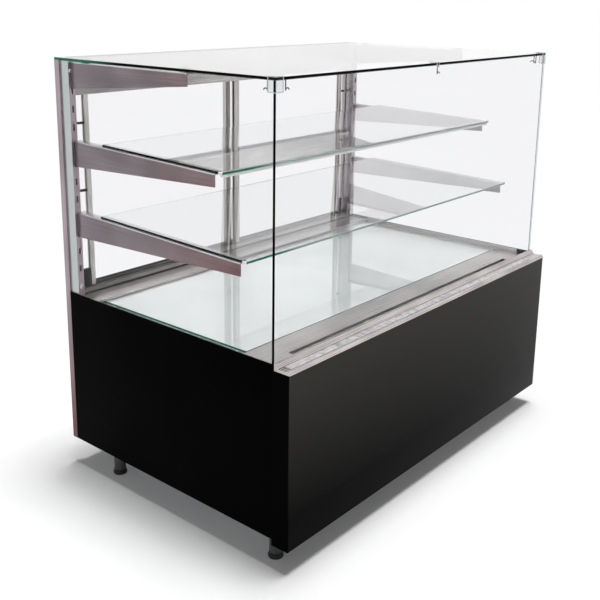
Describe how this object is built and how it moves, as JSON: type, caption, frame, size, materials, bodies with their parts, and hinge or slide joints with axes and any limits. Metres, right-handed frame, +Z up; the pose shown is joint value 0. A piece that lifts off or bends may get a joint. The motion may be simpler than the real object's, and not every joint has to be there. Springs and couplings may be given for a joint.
{
  "type": "pastry display case",
  "caption": "Square-glass refrigerated pastry display case with a black base, glass shelves on hook-in brackets, a front air slot and sliding rear doors.",
  "frame": {"origin": "on the floor, under the middle of the case", "axes": "+X along the case to its right end, -Y out of its front, +Z up"},
  "size_m": [1.304, 0.85, 1.202],
  "materials": {
    "stainless_steel": "satin",
    "black_coated_steel": "satin",
    "gloss_black_steel": "gloss",
    "galvanised_steel": "satin",
    "clear_glass": "polished",
    "clear_plastic": "gloss",
    "anodised_aluminium": "satin",
    "lamp_diffuser": "satin",
    "foam_liner": "matte",
    "finned_aluminium": "satin",
    "black_plastic": "matte",
    "motor_casing": "satin",
    "compressor_enamel": "gloss",
    "copper_tube": "satin",
    "foot_plastic": "matte"
  },
  "bodies": {
    "case": {"left_pillar": "stainless_steel", "right_pillar": "stainless_steel", "top_left_bracket": "stainless_steel", "top_right_bracket": "stainless_steel", "upper_left_bracket": "stainless_steel", "upper_right_bracket": "stainless_steel", "lower_left_bracket": "stainless_steel", "lower_right_bracket": "stainless_steel", "rear_top_rail": "stainless_steel", "rear_bottom_rail": "stainless_steel", "rear_ledge": "stainless_steel", "inner_air_strip": "stainless_steel", "outer_air_strip": "stainless_steel", "deck_plate": "stainless_steel", "control_plate": "stainless_steel", "left_side_panel": "black_coated_steel", "right_side_panel": "black_coated_steel", "rear_apron": "black_coated_steel", "rear_service_panel": "black_coated_steel", "front_panel": "gloss_black_steel", "base_tray": "galvanised_steel", "fan_plate": "galvanised_steel", "fan_shroud": "galvanised_steel", "front_glass": "clear_glass", "left_glass": "clear_glass", "right_glass": "clear_glass", "top_glass": "clear_glass", "upper_shelf": "clear_glass", "lower_shelf": "clear_glass", "deck_glass": "clear_glass", "glass_clips": "clear_plastic", "label_insert": "clear_plastic", "top_glass_pads": "clear_plastic", "label_rail": "anodised_aluminium", "shelf_lamp": "lamp_diffuser", "insulated_well": "foam_liner", "evaporator_coil": "finned_aluminium", "condenser_coil": "finned_aluminium", "thermostat": "black_plastic", "cable_gland": "black_plastic", "evaporator_fan_motors": "motor_casing", "condenser_fan_motor": "motor_casing", "compressor": "compressor_enamel", "refrigerant_lines": "copper_tube"},
    "left_door": {"left_door_pane": "clear_glass", "left_door_pull": "anodised_aluminium", "left_door_stile": "anodised_aluminium"},
    "right_door": {"right_door_pane": "clear_glass", "right_door_pull": "anodised_aluminium", "right_door_stile": "anodised_aluminium"},
    "condenser_fan": {"condenser_fan": "black_plastic"},
    "left_evaporator_fan": {"left_evaporator_fan": "black_plastic"},
    "right_evaporator_fan": {"right_evaporator_fan": "black_plastic"},
    "thermostat_knob": {"thermostat_knob": "black_plastic"},
    "power_switch": {"power_switch": "black_plastic"},
    "front_left_foot": {"front_left_foot": "foot_plastic"},
    "front_right_foot": {"front_right_foot": "foot_plastic"},
    "rear_left_foot": {"rear_left_foot": "foot_plastic"},
    "rear_right_foot": {"rear_right_foot": "foot_plastic"}
  },
  "joints": [
    {"name": "left_door_slide", "type": "slide", "parent": "case", "child": "left_door", "axis": [1, 0, 0], "range_m": [0, 0.6]},
    {"name": "right_door_slide", "type": "slide", "parent": "case", "child": "right_door", "axis": [-1, 0, 0], "range_m": [0, 0.6]},
    {"name": "condenser_fan_spin", "type": "hinge", "parent": "case", "child": "condenser_fan", "pos_m": [-0.12, 0.29, 0.178], "axis": [0, 1, 0], "continuous": true},
    {"name": "left_evaporator_fan_spin", "type": "hinge", "parent": "case", "child": "left_evaporator_fan", "pos_m": [-0.25, 0.089, 0.4275], "axis": [0, 1, 0], "continuous": true},
    {"name": "right_evaporator_fan_spin", "type": "hinge", "parent": "case", "child": "right_evaporator_fan", "pos_m": [0.25, 0.089, 0.4275], "axis": [0, 1, 0], "continuous": true},
    {"name": "thermostat_turn", "type": "hinge", "parent": "case", "child": "thermostat_knob", "pos_m": [0.489, 0.42, 0.442], "axis": [0, 1, 0], "range_deg": [0, 270]},
    {"name": "power_switch_rock", "type": "hinge", "parent": "case", "child": "power_switch", "pos_m": [0.419, 0.416, 0.442], "axis": [1, 0, 0], "range_deg": [0, 14]},
    {"name": "front_left_foot_level", "type": "slide", "parent": "case", "child": "front_left_foot", "axis": [0, 0, -1], "range_m": [0, 0.015]},
    {"name": "front_right_foot_level", "type": "slide", "parent": "case", "child": "front_right_foot", "axis": [0, 0, -1], "range_m": [0, 0.015]},
    {"name": "rear_left_foot_level", "type": "slide", "parent": "case", "child": "rear_left_foot", "axis": [0, 0, -1], "range_m": [0, 0.015]},
    {"name": "rear_right_foot_level", "type": "slide", "parent": "case", "child": "rear_right_foot", "axis": [0, 0, -1], "range_m": [0, 0.015]}
  ]
}
